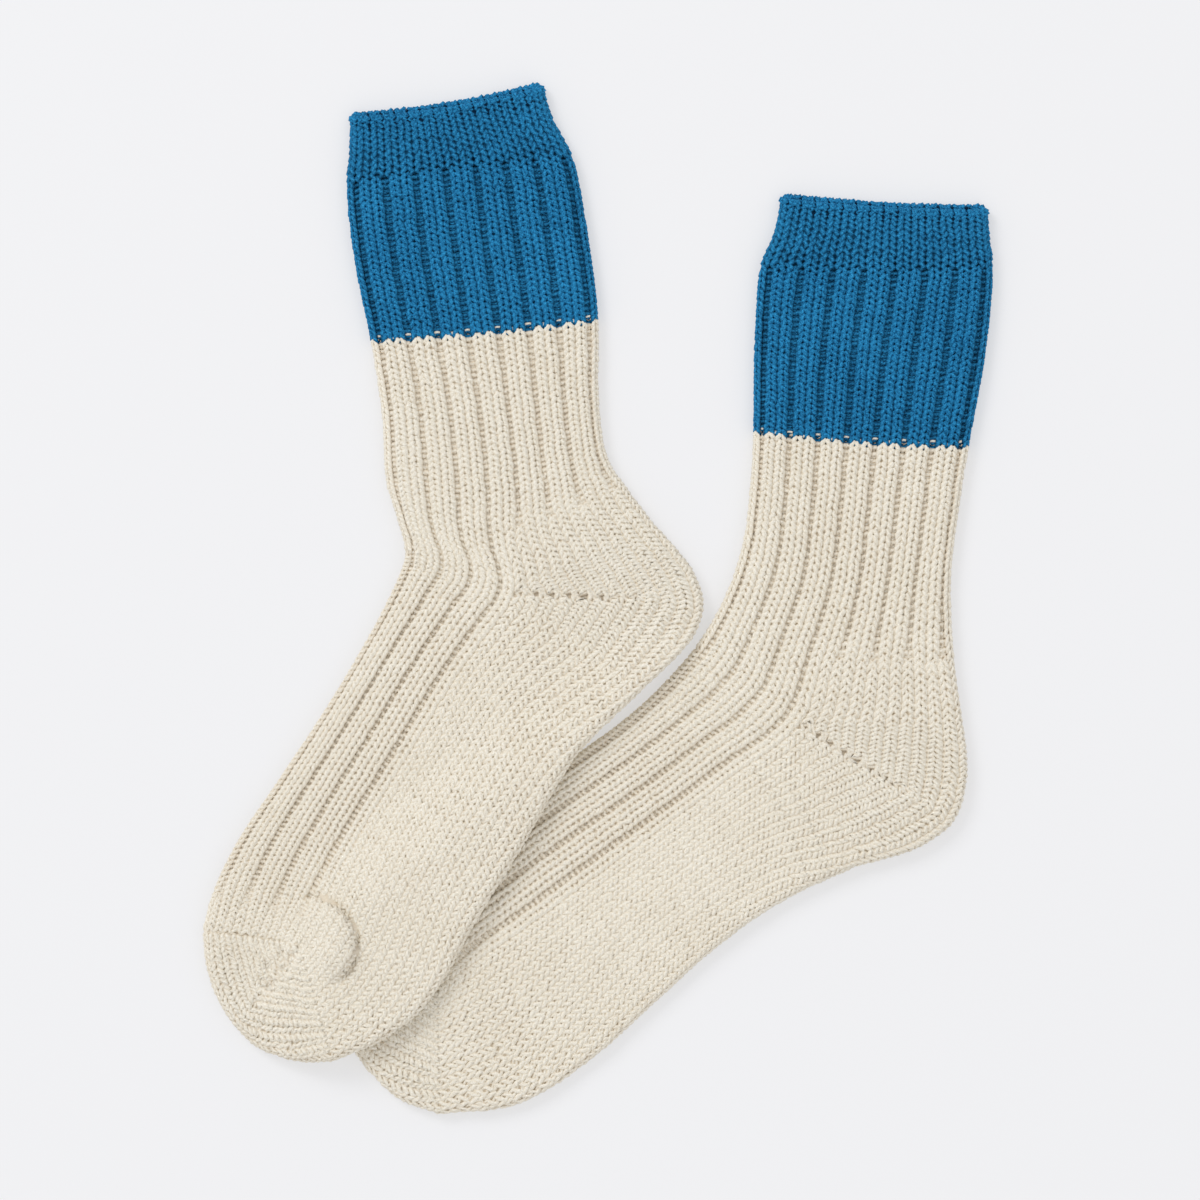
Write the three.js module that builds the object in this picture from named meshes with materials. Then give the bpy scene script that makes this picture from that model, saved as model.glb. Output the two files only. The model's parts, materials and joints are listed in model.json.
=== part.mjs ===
// A pair of thick ribbed crew socks, laid flat with one foot across the other.
// Millimetres. +Z is up and the socks lie on z = 0. +Y points towards the mouths of the socks.
// Each sock is a knitted tube: a doubled welt, a 2 by 1 ribbed leg, a short-row heel, a foot that is
// ribbed over the instep and plain under the sole, and a short-row toe closed by a grafted seam.
import * as THREE from 'three';

// Stitches. A wale is a column of stitches, counted from the front fold round to the back fold.
const FACE_WALES = 24;
const HALF_WALES = FACE_WALES / 2;
const RIB_WALES = 3;
const WELT_COLUMN_WALES = 1.5;

// Rows of stitches, counted from the mouth
const WELT_ROWS = 9.5;
const HEEL_RIB_END_ROW = 70;
const ANKLE_ROW = 79;
const TOE_RIB_START_ROW = 136;
const TOE_RIB_END_ROW = 147;
const TOE_ROW = 150;

// Cloth
const WALL = 2.3;
const RIB_DEPTH = 1.1;
const WELT_DEPTH = 0.7;
const CROWN = 0.5;
const SEAM_GAP = 0.3;
const ROW_PITCH = 2.15;
const MOUTH_STEP = 1.6;
const MOUTH_STEP_ROWS = 10;

// How far the cloth inside follows a fold of the upper layer
const FOLD_FOLLOW = 0.7;

// Where the pair is put, so that the middle of its outline is the origin
const PAIR_CENTRE = { x: 0, y: -0.1 };

// Sections across a sock. The front and back folds are its outline, and the side point lies on the
// middle wale between them. A bend of 0 is a section with a corner at the side point, and 1 a smooth one.
const SECTION = ['row', 'frontX', 'frontY', 'sideX', 'sideY', 'backX', 'backY', 'thick', 'bend'];

// Outline of the heel or the toe, from its first section round to its last
const EDGE = ['step', 'x', 'y'];

// Soft folds and hollows in the upper layer
const FOLD = ['x', 'y', 'turn', 'length', 'width', 'height'];

function named(columns, rows) {
  return rows.map((row) => Object.fromEntries(row.map((value, i) => [columns[i], value])));
}

const UPPER_SOCK = {
  name: 'upper_sock',
  colourRow: 38,
  leg: named(SECTION, [
    [0, -91, 176, -55.5, 179.5, -19.5, 187.5, 6.6, 1],
    [5, -91.5, 165, -53, 170, -16, 176, 6.8, 1],
    [10, -92.5, 152.5, -50.5, 158.5, -9, 162.5, 6.8, 1],
    [24, -89.5, 124, -46.5, 128, -3, 131.5, 6.8, 1],
    [38, -83.5, 94.5, -42, 97.5, 0.5, 102.5, 6.8, 1],
    [51, -79.5, 68, -38, 69, 0.5, 75, 7, 1],
    [64, -78, 44, -35, 42, 3.5, 53, 7.2, 0.9],
    [72, -74, 31, -34, 22, 11.5, 40.5, 7.5, 0.5],
    [79, -71, 18.5, -30.5, 3, 21, 28, 7.6, 0],
  ]),
  foot: named(SECTION, [
    [79, -71, 18.5, -30.5, 3, 16.5, -33, 7.6, 0],
    [86, -74, 7.5, -40, -12, 3, -46, 7.4, 0.6],
    [93, -82, -9, -51, -27.5, -8.5, -58.5, 7.2, 1],
    [107, -99, -38, -69.5, -57.5, -26.5, -89, 7.2, 1],
    [121, -117.5, -66, -86, -84.5, -45, -119, 7.2, 1],
    [133, -132, -87.5, -97, -104.5, -60.5, -145.5, 7.2, 0.9],
    [142, -141, -105.5, -103.5, -116.5, -77, -160, 7.4, 0.5],
    [150, -145, -120.5, -108.5, -125.5, -96.5, -168.5, 7.4, 0],
  ]),
  heel: named(EDGE, [
    [0, 21, 28],
    [1, 29.5, 18.5],
    [2, 35.5, 10],
    [3, 39, -0.5],
    [4, 36.5, -11.5],
    [5, 28.5, -21.5],
    [6, 16.5, -33],
  ]),
  toe: named(EDGE, [
    [0, -96.5, -168.5],
    [1, -109.5, -169],
    [2, -123.5, -165],
    [3, -133, -156.5],
    [4, -140, -145.5],
    [5, -144, -133],
    [6, -145, -120.5],
  ]),
  folds: named(FOLD, [
    [-100, -125, 0, 10, 10, 2.6],
    [-75, -112, 60, 17, 11, -0.9],
    [-47, -62, 57, 40, 13, 0.9],
  ]),
};

const LOWER_SOCK = {
  name: 'lower_sock',
  colourRow: 40,
  leg: named(SECTION, [
    [0, 66.5, 146.5, 104.5, 143, 143, 142, 6.6, 1],
    [5, 64, 134.5, 104, 133, 144, 132, 6.8, 1],
    [10, 59, 122.5, 103, 121, 145, 122, 6.8, 1],
    [24, 57, 93, 99, 90.5, 142.5, 92.5, 6.8, 1],
    [40, 56.5, 61.5, 96, 57.5, 136, 56, 6.8, 1],
    [51, 55.5, 42.5, 93.5, 31.5, 132.5, 34, 7, 1],
    [61, 52.5, 20, 90, 4.5, 129.5, 8.5, 7.2, 0.9],
    [70, 45.5, 0, 83, -19.5, 130.5, -18.5, 7.4, 0.5],
    [79, 35.5, -16.5, 74, -45, 134, -45, 7.4, 0],
  ]),
  foot: named(SECTION, [
    [79, 35.5, -16.5, 74, -45, 94.5, -98, 7.4, 0],
    [93, 15.5, -38, 48.5, -65, 69, -110, 7.2, 0.8],
    [107, -6, -54.5, 23, -84, 43.5, -127.5, 6.8, 1],
    [121, -30, -70.5, -3, -103, 18.5, -150, 6.6, 1],
    [133, -53.5, -87.5, -25.5, -119.5, -5.5, -171, 6.6, 0.9],
    [142, -74.5, -104, -44, -132, -30.5, -185.5, 6.6, 0.5],
    [150, -92, -125, -59, -141.5, -58, -188.5, 6.6, 0],
  ]),
  heel: named(EDGE, [
    [0, 134, -45],
    [1, 135.5, -57.5],
    [2, 135, -69],
    [3, 130.5, -81.5],
    [4, 119.5, -90],
    [5, 108, -94.5],
    [6, 94.5, -98],
  ]),
  toe: named(EDGE, [
    [0, -58, -188.5],
    [1, -72.5, -183.5],
    [2, -84.5, -172.5],
    [3, -91.5, -161.5],
    [4, -94.5, -149.5],
    [5, -94.5, -137.5],
    [6, -92, -125],
  ]),
  folds: named(FOLD, [
    [20, -112, 37, 45, 14, 0.5],
    [-38, -158, 20, 14, 10, -0.8],
  ]),
};

// The lower foot as the upper sock rides over it: a tapered rod from the heel to the toe
const RIDGE = {
  from: { x: 43.5, y: -73.5, radius: 50 },
  to: { x: -56, y: -146, radius: 46 },
  height: 7.5,
  run: 25,
  shelf: 3,
};

const COTTON_BLUE = new THREE.MeshStandardMaterial({ color: 0x14649a, roughness: 0.92, metalness: 0 });
const COTTON_ECRU = new THREE.MeshStandardMaterial({ color: 0xe9dfcc, roughness: 0.92, metalness: 0 });

const mix = (a, b, t) => a + (b - a) * t;
const mixPoint = (a, b, t) => ({ x: mix(a.x, b.x, t), y: mix(a.y, b.y, t) });

function smoothStep(value) {
  const t = Math.min(Math.max(value, 0), 1);
  return t * t * (3 - 2 * t);
}

// A smooth curve through one column of a table, read at any place along the table
function along(table, place, column, at) {
  const last = table.length - 1;
  let i = 0;
  while (i < last - 1 && at > table[i + 1][place]) i += 1;
  const slope = (k) => {
    const before = table[Math.max(k - 1, 0)];
    const after = table[Math.min(k + 1, last)];
    return (after[column] - before[column]) / (after[place] - before[place]);
  };
  const span = table[i + 1][place] - table[i][place];
  const t = (at - table[i][place]) / span;
  const start = table[i][column];
  const end = table[i + 1][column];
  const rise = end - start;
  const bulgeIn = slope(i) * span - rise;
  const bulgeOut = rise - slope(i + 1) * span;
  return start + rise * t + t * (1 - t) * (bulgeIn * (1 - t) + bulgeOut * t);
}

// The front fold and the middle wale run on from leg to foot, and the back fold stops at the heel
function sectionAt(sock, part, row) {
  const whole = [...sock.leg, ...sock.foot.slice(1)];
  const read = (table, column) => along(table, 'row', column, row);
  return {
    front: { x: read(whole, 'frontX'), y: read(whole, 'frontY') },
    side: { x: read(whole, 'sideX'), y: read(whole, 'sideY') },
    back: { x: read(sock[part], 'backX'), y: read(sock[part], 'backY') },
    thick: read(whole, 'thick'),
    bend: read(whole, 'bend'),
  };
}

// Half of a section, from the side point at 0 to a fold at 1
function halfOf(section, fold, otherFold) {
  const { side, thick, bend } = section;
  const place = (t) => {
    const straight = mixPoint(side, fold, t);
    const chord = mixPoint(otherFold, fold, (1 + t) / 2);
    const sag = (1 - t) * (1 + t);
    const smooth = {
      x: chord.x + sag * (side.x - (fold.x + otherFold.x) / 2),
      y: chord.y + sag * (side.y - (fold.y + otherFold.y) / 2),
    };
    return mixPoint(straight, smooth, bend);
  };
  return { place, radius: thick / 2, length: Math.hypot(fold.x - side.x, fold.y - side.y) };
}

// A ray of a short-row heel or toe. Its wales turn a corner near the side point and curve at the fold.
const FAN_CORNER_SHARE = 0.6;

function rayOf(edge, side, thick, turn) {
  const steps = edge.length - 1;
  const step = turn * steps;
  const middle = steps / 2;
  const outline = { x: along(edge, 'step', 'x', step), y: along(edge, 'step', 'y', step) };
  const corner = turn < 0.5
    ? mixPoint(edge[0], edge[middle], turn * 2)
    : mixPoint(edge[middle], edge[steps], turn * 2 - 1);
  const place = (t) => {
    const curved = smoothStep((t - FAN_CORNER_SHARE) / (1 - FAN_CORNER_SHARE));
    return mixPoint(side, mixPoint(corner, outline, curved), t);
  };
  return { place, radius: thick / 2, length: Math.hypot(outline.x - side.x, outline.y - side.y) };
}

// Depth of the grooves between the ribs, or between the wide columns of the welt
function grooveDepth(ring, wale) {
  if (ring.row <= WELT_ROWS) {
    const wave = Math.cos((2 * Math.PI * wale) / WELT_COLUMN_WALES);
    return WELT_DEPTH * (1 + wave) / 2;
  }
  const fromGroove = Math.abs((wale % RIB_WALES) - RIB_WALES / 2);
  const shape = fromGroove < RIB_WALES / 4 ? (1 + Math.cos((4 * Math.PI * fromGroove) / RIB_WALES)) / 2 : 0;
  const toToe = smoothStep((TOE_RIB_END_ROW - ring.row) / (TOE_RIB_END_ROW - TOE_RIB_START_ROW));
  const onSole = wale > HALF_WALES;
  const toHeel = smoothStep(HEEL_RIB_END_ROW + 1 - ring.row);
  return RIB_DEPTH * shape * (onSole ? toHeel : toToe);
}

// Height of the upper sock's underside, where its foot climbs on to the lower foot
function ridgeHeight(x, y) {
  const { from, to, height, run, shelf } = RIDGE;
  const rodX = to.x - from.x;
  const rodY = to.y - from.y;
  const share = ((x - from.x) * rodX + (y - from.y) * rodY) / (rodX ** 2 + rodY ** 2);
  const t = Math.min(Math.max(share, 0), 1);
  const away = Math.hypot(x - mix(from.x, to.x, t), y - mix(from.y, to.y, t));
  const inside = mix(from.radius, to.radius, t) - away;
  return height * smoothStep((inside + run) / (run + shelf));
}

function foldHeight(folds, x, y) {
  return folds.reduce((sum, fold) => {
    const turn = THREE.MathUtils.degToRad(fold.turn);
    const lengthwise = ((x - fold.x) * Math.cos(turn) + (y - fold.y) * Math.sin(turn)) / fold.length;
    const across = ((y - fold.y) * Math.cos(turn) - (x - fold.x) * Math.sin(turn)) / fold.width;
    return sum + fold.height * Math.exp(-(lengthwise ** 2) - across ** 2);
  }, 0);
}

// One point of a sock's cloth. Wales 0 to 24 are the side that shows, and 24 to 48 lie underneath.
function clothPoint(sock, ring, wale, inside) {
  const onTop = wale <= FACE_WALES;
  const fromFront = onTop ? wale : 2 * FACE_WALES - wale;
  const half = fromFront <= HALF_WALES ? ring.frontHalf : ring.backHalf;
  const fromFold = fromFront <= HALF_WALES ? fromFront : FACE_WALES - fromFront;
  const { radius, length } = half;
  const quarter = Math.PI / 2;
  const waleWidth = (length + (quarter - 1) * radius) / HALF_WALES;
  const angle = Math.min((fromFold * waleWidth) / radius, quarter);
  const groove = onTop ? grooveDepth(ring, fromFront) * Math.sin(angle) : 0;
  const reach = radius - (inside ? WALL : groove);
  const flatRun = Math.max(fromFold * waleWidth - quarter * radius, 0);
  const fromEdge = radius - reach * Math.cos(angle) + flatRun;
  const place = half.place(1 - fromEdge / length);
  const level = Math.sin(angle);
  const lipShare = Math.max(1 - ring.row / MOUTH_STEP_ROWS, 0);
  const lip = onTop ? 0 : MOUTH_STEP * level * lipShare;
  const x = place.x - lip * sock.down.x;
  const y = place.y - lip * sock.down.y;
  const crown = CROWN * (1 - ((fromFront - HALF_WALES) / HALF_WALES) ** 2);
  const soft = (crown + foldHeight(sock.folds, x, y)) * level * (inside ? FOLD_FOLLOW : 1);
  const z = radius + (onTop ? reach * level + soft : -reach * level);
  const lift = sock.rides ? ridgeHeight(x, y) : 0;
  return [x - PAIR_CENTRE.x, y - PAIR_CENTRE.y, z + lift];
}

// A closed surface from triangles between named points, leaving out those that have no area
class Skin {
  constructor() {
    this.points = [];
    this.faces = [];
    this.seen = new Map();
  }

  point(coordinates) {
    const key = coordinates.map((value) => Math.round(value * 1e4)).join();
    if (!this.seen.has(key)) {
      this.seen.set(key, this.points.length);
      this.points.push(coordinates);
    }
    return this.seen.get(key);
  }

  triangle(a, b, c) {
    if (a !== b && b !== c && c !== a) this.faces.push([a, b, c]);
  }

  strip(ring, next) {
    ring.forEach((_, i) => {
      const k = (i + 1) % ring.length;
      this.triangle(ring[i], next[i], next[k]);
      this.triangle(ring[i], next[k], ring[k]);
    });
  }

  geometry() {
    const geometry = new THREE.BufferGeometry();
    geometry.setAttribute('position', new THREE.Float32BufferAttribute(this.points.flat(), 3));
    geometry.setIndex(this.faces.flat());
    geometry.computeVertexNormals();
    return geometry;
  }
}

const steps = (from, to, count) => Array.from({ length: count + 1 }, (_, i) => mix(from, to, i / count));

// Rings of points along the tube: their rows in the welt, and how many follow in each stretch
const WELT_RING_ROWS = [0, 1, 3, 6, WELT_ROWS];
const RINGS = { cuff: 6, leg: 6, ankle: 3, heel: 10, foot: 11, toeRibs: 4, toe: 10 };

// Wales at which the rings have points, the ones inside being a share of those outside
const TOP_WALES = steps(0, FACE_WALES, (4 * FACE_WALES) / RIB_WALES);
const EDGE_WALES = [0, 1.5, 3, 6, 9, 12, 15, 18, 21, 22.5, 24];
const UNDER_WALES = EDGE_WALES.slice(1, -1).map((wale) => FACE_WALES + wale);
const OUTER_WALES = [...TOP_WALES, ...UNDER_WALES];
const INNER_WALES = [...EDGE_WALES, ...UNDER_WALES];

// The rim of a cut or open end, between the outer and the inner ring
function addRim(skin, outer, inner) {
  INNER_WALES.forEach((wale, i) => {
    const k = (i + 1) % INNER_WALES.length;
    const start = OUTER_WALES.indexOf(wale);
    const end = k === 0 ? OUTER_WALES.length : OUTER_WALES.indexOf(INNER_WALES[k]);
    const middle = Math.floor((start + end) / 2);
    for (let j = start; j < end; j += 1) {
      const near = j < middle ? inner[i] : inner[k];
      skin.triangle(outer[j], outer[(j + 1) % outer.length], near);
    }
    skin.triangle(inner[i], outer[middle], inner[k]);
  });
}

function tubeRings(sock, part, rows) {
  return rows.map((row) => {
    const section = sectionAt(sock, part, row);
    return {
      row,
      frontHalf: halfOf(section, section.front, section.back),
      backHalf: halfOf(section, section.back, section.front),
    };
  });
}

// Short rows: the front half of the ring stands still while the back half sweeps round the side point
function fanRings(sock, edge, row, count) {
  const section = sectionAt(sock, 'foot', row);
  const frontHalf = halfOf(section, section.front, section.back);
  return steps(0, 1, count).slice(1).map((turn) => ({
    row,
    frontHalf,
    backHalf: rayOf(edge, section.side, section.thick, turn),
  }));
}

function knitTube(sock, rings, closedAtToe) {
  const skin = new Skin();
  const ringPoints = (ring, wales, inside) => wales.map((wale) => (
    skin.point(clothPoint(sock, ring, wale, inside))
  ));
  const outer = rings.map((ring) => ringPoints(ring, OUTER_WALES, false));
  const inner = rings.map((ring) => ringPoints(ring, INNER_WALES, true));
  for (let i = 0; i + 1 < rings.length; i += 1) {
    skin.strip(outer[i], outer[i + 1]);
    skin.strip([...inner[i]].reverse(), [...inner[i + 1]].reverse());
  }
  addRim(skin, outer[0], inner[0]);
  if (!closedAtToe) {
    const last = rings.length - 1;
    const mark = skin.faces.length;
    addRim(skin, outer[last], inner[last]);
    skin.faces.slice(mark).forEach((face) => face.reverse());
  }
  return skin.geometry();
}

function addSock(group, sock) {
  const [first, second] = sock.leg;
  const length = Math.hypot(second.sideX - first.sideX, second.sideY - first.sideY);
  sock.down = { x: (second.sideX - first.sideX) / length, y: (second.sideY - first.sideY) / length };
  const halfGap = SEAM_GAP / ROW_PITCH / 2;
  const cuffEnd = sock.colourRow - halfGap;
  const bodyStart = sock.colourRow + halfGap;

  const cuffRings = [
    ...tubeRings(sock, 'leg', WELT_RING_ROWS),
    ...tubeRings(sock, 'leg', steps(WELT_ROWS + 1, cuffEnd, RINGS.cuff)),
  ];
  const cuff = new THREE.Mesh(knitTube(sock, cuffRings, false), COTTON_BLUE);
  cuff.name = `${sock.name}_cuff`;
  group.add(cuff);

  const bodyRings = [
    ...tubeRings(sock, 'leg', steps(bodyStart, HEEL_RIB_END_ROW, RINGS.leg)),
    ...tubeRings(sock, 'leg', steps(HEEL_RIB_END_ROW + 1, ANKLE_ROW, RINGS.ankle)),
    ...fanRings(sock, sock.heel, ANKLE_ROW, RINGS.heel),
    ...tubeRings(sock, 'foot', steps(ANKLE_ROW, TOE_RIB_START_ROW, RINGS.foot).slice(1)),
    ...tubeRings(sock, 'foot', steps(TOE_RIB_START_ROW, TOE_ROW, RINGS.toeRibs).slice(1)),
    ...fanRings(sock, sock.toe, TOE_ROW, RINGS.toe),
  ];
  const body = new THREE.Mesh(knitTube(sock, bodyRings, true), COTTON_ECRU);
  body.name = `${sock.name}_body`;
  group.add(body);
}

const pair = new THREE.Group();
pair.name = 'crew_socks';
addSock(pair, LOWER_SOCK);
addSock(pair, { ...UPPER_SOCK, rides: true });

export default pair;
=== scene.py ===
import json
import math

import bpy
import numpy as np
from mathutils import Vector
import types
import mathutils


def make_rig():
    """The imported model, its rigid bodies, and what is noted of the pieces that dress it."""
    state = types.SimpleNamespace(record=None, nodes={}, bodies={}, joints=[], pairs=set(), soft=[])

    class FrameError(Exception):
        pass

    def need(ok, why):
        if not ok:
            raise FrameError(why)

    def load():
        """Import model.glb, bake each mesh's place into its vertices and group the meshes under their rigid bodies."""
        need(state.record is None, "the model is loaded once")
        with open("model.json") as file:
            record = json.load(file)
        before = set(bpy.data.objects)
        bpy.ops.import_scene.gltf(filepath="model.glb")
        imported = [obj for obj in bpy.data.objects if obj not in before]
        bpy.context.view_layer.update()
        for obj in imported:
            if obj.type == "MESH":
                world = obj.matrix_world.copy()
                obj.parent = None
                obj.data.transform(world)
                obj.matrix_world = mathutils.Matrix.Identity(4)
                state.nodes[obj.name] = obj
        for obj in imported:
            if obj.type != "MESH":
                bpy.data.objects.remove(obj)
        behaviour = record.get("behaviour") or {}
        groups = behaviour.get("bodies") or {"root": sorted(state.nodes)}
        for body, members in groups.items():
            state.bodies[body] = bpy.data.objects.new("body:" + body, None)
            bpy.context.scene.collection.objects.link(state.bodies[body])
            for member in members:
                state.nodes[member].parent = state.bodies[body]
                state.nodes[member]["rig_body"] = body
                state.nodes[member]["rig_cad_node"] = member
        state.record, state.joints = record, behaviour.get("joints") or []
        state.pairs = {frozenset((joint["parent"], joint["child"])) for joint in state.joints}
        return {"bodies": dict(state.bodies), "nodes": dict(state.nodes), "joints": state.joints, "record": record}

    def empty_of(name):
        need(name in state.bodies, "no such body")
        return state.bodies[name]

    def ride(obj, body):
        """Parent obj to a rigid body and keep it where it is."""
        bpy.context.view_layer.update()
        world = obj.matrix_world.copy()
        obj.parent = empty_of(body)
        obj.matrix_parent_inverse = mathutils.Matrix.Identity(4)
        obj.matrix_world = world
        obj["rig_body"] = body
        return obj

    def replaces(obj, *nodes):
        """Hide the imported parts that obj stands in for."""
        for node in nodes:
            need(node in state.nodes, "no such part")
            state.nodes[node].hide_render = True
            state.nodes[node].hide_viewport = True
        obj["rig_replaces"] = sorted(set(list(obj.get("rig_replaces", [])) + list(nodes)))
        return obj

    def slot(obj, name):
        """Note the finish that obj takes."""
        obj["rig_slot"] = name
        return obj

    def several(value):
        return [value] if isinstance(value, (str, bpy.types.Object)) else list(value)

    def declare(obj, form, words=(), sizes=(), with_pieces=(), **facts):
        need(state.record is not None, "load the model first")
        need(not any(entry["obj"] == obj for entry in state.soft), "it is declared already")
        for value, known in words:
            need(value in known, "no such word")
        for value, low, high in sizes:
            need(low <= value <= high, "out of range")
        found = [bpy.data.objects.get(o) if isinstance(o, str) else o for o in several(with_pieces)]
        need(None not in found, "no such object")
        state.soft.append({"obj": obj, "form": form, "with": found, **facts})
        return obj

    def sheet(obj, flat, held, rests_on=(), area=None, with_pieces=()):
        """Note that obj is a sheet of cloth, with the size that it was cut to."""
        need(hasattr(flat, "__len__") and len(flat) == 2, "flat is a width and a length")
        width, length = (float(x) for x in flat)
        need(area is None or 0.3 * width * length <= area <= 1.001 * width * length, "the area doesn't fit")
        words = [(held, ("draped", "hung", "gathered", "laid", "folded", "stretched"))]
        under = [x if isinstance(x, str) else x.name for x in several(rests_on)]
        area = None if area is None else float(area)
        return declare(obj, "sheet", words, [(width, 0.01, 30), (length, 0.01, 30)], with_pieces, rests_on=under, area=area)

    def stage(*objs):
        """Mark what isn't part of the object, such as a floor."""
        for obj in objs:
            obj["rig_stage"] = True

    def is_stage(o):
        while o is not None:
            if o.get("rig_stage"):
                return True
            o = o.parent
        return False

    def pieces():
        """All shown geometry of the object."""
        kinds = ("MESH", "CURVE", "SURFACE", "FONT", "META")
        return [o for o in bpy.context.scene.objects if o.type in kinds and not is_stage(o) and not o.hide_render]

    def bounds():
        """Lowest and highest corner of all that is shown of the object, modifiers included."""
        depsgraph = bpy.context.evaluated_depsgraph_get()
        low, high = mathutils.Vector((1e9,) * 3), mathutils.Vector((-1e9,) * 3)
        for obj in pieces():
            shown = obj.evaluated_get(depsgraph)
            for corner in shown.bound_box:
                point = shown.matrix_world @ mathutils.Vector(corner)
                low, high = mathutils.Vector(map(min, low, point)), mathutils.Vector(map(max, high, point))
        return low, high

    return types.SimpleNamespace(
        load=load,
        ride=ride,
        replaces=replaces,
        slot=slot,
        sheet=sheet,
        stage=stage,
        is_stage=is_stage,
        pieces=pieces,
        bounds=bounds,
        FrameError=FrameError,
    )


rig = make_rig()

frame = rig.load()
cad_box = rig.bounds()

# The camera looks straight down on the flat pair, as from a copy stand. The picture takes in 440 mm of
# the table, and its middle lies just beside the middle of the pair.
PICTURE_WIDTH = 0.4404
CAMERA_PLACE = (0.0007, 0.0001, 1.6)
SENSOR = 36.0

bpy.ops.object.camera_add(location=CAMERA_PLACE, rotation=(0, 0, 0))
camera = bpy.context.object
camera.data.sensor_width = SENSOR
camera.data.lens = SENSOR * CAMERA_PLACE[2] / PICTURE_WIDTH
camera.data.clip_end = 20
bpy.context.scene.camera = camera

# The light is a large soft window above the upper left, with a white reflector opposite and a white
# room all round. It draws pale shadows along the right and lower edges of the socks.
WINDOW = {"place": (-2.0, 2.1, 2.6), "size": 1.6, "watts": 50}
REFLECTOR = {"place": (1.2, -1.4, 2.0), "size": 2.0, "watts": 6}
ROOM_WHITE = (0.975, 0.98, 1.0, 1)
ROOM_STRENGTH = 0.76

for name, lamp in (("window", WINDOW), ("reflector", REFLECTOR)):
    bpy.ops.object.light_add(type="AREA", location=lamp["place"])
    light = bpy.context.object
    light.name = name
    light.data.shape = "SQUARE"
    light.data.size = lamp["size"]
    light.data.energy = lamp["watts"]
    light.rotation_euler = (-Vector(lamp["place"])).to_track_quat("-Z", "Y").to_euler()

world = bpy.data.worlds.new("white_room")
bpy.context.scene.world = world
world.use_nodes = True
room = world.node_tree.nodes["Background"]
room.inputs["Color"].default_value = ROOM_WHITE
room.inputs["Strength"].default_value = ROOM_STRENGTH
bpy.context.scene.view_settings.view_transform = "Standard"


# The table is a matt white acrylic light table, a little cool, without an edge in view. It is lit from
# below as well, which keeps the shadows on it pale.
BOARD_WHITE = "#AEAEB0"
BOARD_GLOW = 0.455
BOARD_SIZE = 6
BOARD_DROP = 0.0001


def linear(hex_colour):
    """The linear red, green, blue and alpha of an sRGB hex colour."""
    parts = [int(hex_colour[i:i + 2], 16) / 255 for i in (1, 3, 5)]
    return [c / 12.92 if c <= 0.04045 else ((c + 0.055) / 1.055) ** 2.4 for c in parts] + [1]


def add_node(tree, kind, links, **settings):
    """One node with its settings; links gives each socket a value or another node's output."""
    node = tree.nodes.new(kind)
    for key, value in settings.items():
        setattr(node, key, value)
    for socket, source in links.items():
        if hasattr(source, "is_output"):
            tree.links.new(source, node.inputs[socket])
        else:
            node.inputs[socket].default_value = source
    return node.outputs[0]


def new_material(name):
    material = bpy.data.materials.new(name)
    material.use_nodes = True
    return material, material.node_tree, material.node_tree.nodes["Principled BSDF"]


bpy.ops.mesh.primitive_plane_add(size=BOARD_SIZE, location=(0, 0, -BOARD_DROP))
board = bpy.context.object
board.name = "table_board"
board_acrylic, _, board_shader = new_material("matt_white_acrylic")
board_shader.inputs["Base Color"].default_value = linear(BOARD_WHITE)
board_shader.inputs["Roughness"].default_value = 0.95
board_shader.inputs["Specular IOR Level"].default_value = 0.1
board_shader.inputs["Emission Color"].default_value = (1, 1, 1, 1)
board_shader.inputs["Emission Strength"].default_value = BOARD_GLOW
board.data.materials.append(board_acrylic)
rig.stage(board)


# The form of a sock, as it lies. It is one knitted tube: wales are its columns of stitches, counted
# from the front fold, and its courses are counted down each wale from the mouth, the short rows of
# the heel and the toe included. Sizes in these sections are in millimetres.
MM = 0.001
FACE_WALES = 24
HALF_WALES = FACE_WALES / 2
RIB_WALES = 3
WELT_COURSES = 9.5
HEEL_RIB_END = 72.5
HEEL_RIB_FADE = 5
ANKLE = 79
TOE_RIB_START = 136
TOE_RIB_END = 147
TOE = 150
HEEL_SHORT_ROWS = 16
TOE_SHORT_ROWS = 17
TURN_WALES = 8

RIB_DEPTH = 1.9
RIB_SHARPNESS = 3.0
TROUGH_DEPTH = 0.6
TROUGH_PAST_WELT = 0.4
TROUGH_ROWS = 0.8
RIM_ROW = 0.45
RIM_ROWS = 2.5
CROWN = 0.5
MOUTH_STEP = 2.2
MOUTH_STEP_ROWS = 10
PAIR_CENTRE = (0.0, -0.1)
FAN_STEPS = 6
FAN_CORNER_SHARE = 0.6
TINY = 1e-6

# A sock's tables: for a row of the tube, the places of its front fold, of the middle of its side and of
# its back fold, how thick the sock lies there, and how far the row bows. For the heel and the toe, the
# outline in six steps from fold to fold. For the soft folds, their place, turn in degrees and size.
SECTION = ["row", "front_x", "front_y", "side_x", "side_y", "back_x", "back_y", "thick", "bend"]
EDGE = ["step", "x", "y"]
FOLD = ["x", "y", "turn", "length", "width", "height"]


def named(columns, rows):
    return {name: np.array([row[i] for row in rows], float) for i, name in enumerate(columns)}


# How the rib changes from the mouth to the instep: its stitches lie flatter and their yarn is fuller.
RIB_FORM = named(["row", "squeeze", "rise", "neck_lift", "fullness"], [
    [40, 0.22, 0.55, 0.78, 0.0],
    [46, 0.25, 0.5, 0.6, 0.09],
    [60, 0.3, 0.48, 0.52, 0.1],
    [79, 0.3, 0.42, 0.42, 0.14],
    [92, 0.27, 0.34, 0.28, 0.2],
])

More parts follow.
